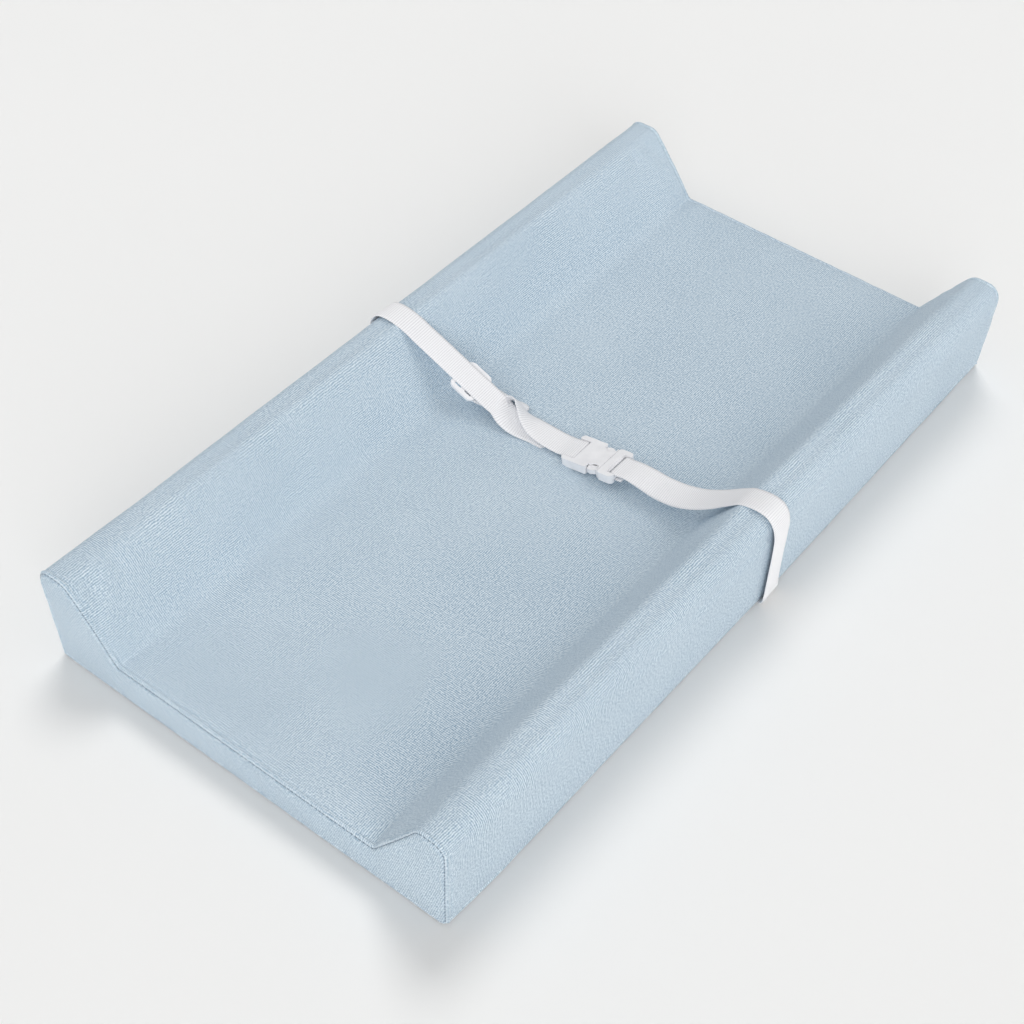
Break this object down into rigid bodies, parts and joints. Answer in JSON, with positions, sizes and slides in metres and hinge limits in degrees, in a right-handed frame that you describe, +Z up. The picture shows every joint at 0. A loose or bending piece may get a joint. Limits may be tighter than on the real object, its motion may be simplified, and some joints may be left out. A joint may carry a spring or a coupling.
{
  "type": "changing pad",
  "caption": "Contoured baby changing pad with raised side bolsters, a fitted fabric cover and a webbing safety belt with a side-release buckle.",
  "frame": {"origin": "on the surface that the pad lies on, under the middle of the pad's bounding box", "axes": "+Z up, +Y along the pad's length towards its back end, +X across the pad towards the bolster that the plug side of the belt comes over"},
  "size_m": [0.4164, 0.792, 0.1002],
  "materials": {
    "foam": "open-cell foam, matt",
    "cover_fabric": "fine twill weave, soft sheen",
    "base_fabric": "non-slip backing cloth, matt",
    "zip_tape": "woven tape, matt",
    "zip_chain": "nylon coil, satin",
    "zip_metal": "satin nickel plate",
    "webbing": "ribbed polypropylene webbing",
    "buckle_plastic": "moulded acetal, satin"
  },
  "bodies": {
    "pad": {"foam_base_slab": "foam", "foam_bolster_left": "foam", "foam_bolster_right": "foam", "cover_main_panel": "cover_fabric", "cover_end_panel_front": "cover_fabric", "cover_end_panel_back": "cover_fabric", "cover_bottom_panel": "base_fabric", "zipper_tape_left": "zip_tape", "zipper_tape_right": "zip_tape", "zipper_chain_left": "zip_chain", "zipper_chain_right": "zip_chain", "zipper_stop_back": "zip_metal", "zipper_stop_front": "zip_metal", "belt_left_wall": "webbing", "belt_left_span": "webbing", "belt_left_return": "webbing", "belt_right_wall": "webbing", "belt_right_free": "webbing", "buckle_female": "buckle_plastic"},
    "buckle_plug": {"buckle_male_base": "buckle_plastic", "belt_right_fold": "webbing"},
    "prong_near": {"buckle_prong_near": "buckle_plastic"},
    "prong_far": {"buckle_prong_far": "buckle_plastic"},
    "tri_glide": {"tri_glide_slider": "buckle_plastic"},
    "zip_slider": {"zipper_slider": "zip_metal"},
    "zip_pull": {"zipper_pull": "zip_metal"}
  },
  "joints": [
    {"name": "buckle_release", "type": "slide", "parent": "pad", "child": "buckle_plug", "axis": [0.9833, 0, 0.1822], "range_m": [0, 0.03], "deforming": ["buckle_prong_near", "buckle_prong_far", "belt_right_free"]},
    {"name": "prong_near_press", "type": "hinge", "parent": "buckle_plug", "child": "prong_near", "pos_m": [0.04418, 0.016, 0.04847], "axis": [0.1822, 0, -0.9833], "range_deg": [0, 10], "stiffness_Nm_per_rad": 0.05},
    {"name": "prong_far_press", "type": "hinge", "parent": "buckle_plug", "child": "prong_far", "pos_m": [0.04418, 0.035, 0.04847], "axis": [-0.1822, 0, 0.9833], "range_deg": [0, 10], "stiffness_Nm_per_rad": 0.05},
    {"name": "tri_glide_adjust", "type": "slide", "parent": "pad", "child": "tri_glide", "axis": [0.8988, 0.0548, -0.435], "range_m": [-0.02, 0.02], "deforming": ["belt_left_span", "belt_left_return"]},
    {"name": "zip_slide", "type": "slide", "parent": "pad", "child": "zip_slider", "axis": [0, -1, 0], "range_m": [0, 0.525], "deforming": ["zipper_chain_left", "zipper_chain_right"]},
    {"name": "zip_pull_swing", "type": "hinge", "parent": "zip_slider", "child": "zip_pull", "pos_m": [0, 0.2702, 0.00145], "axis": [1, 0, 0], "range_deg": [0, 160]}
  ]
}
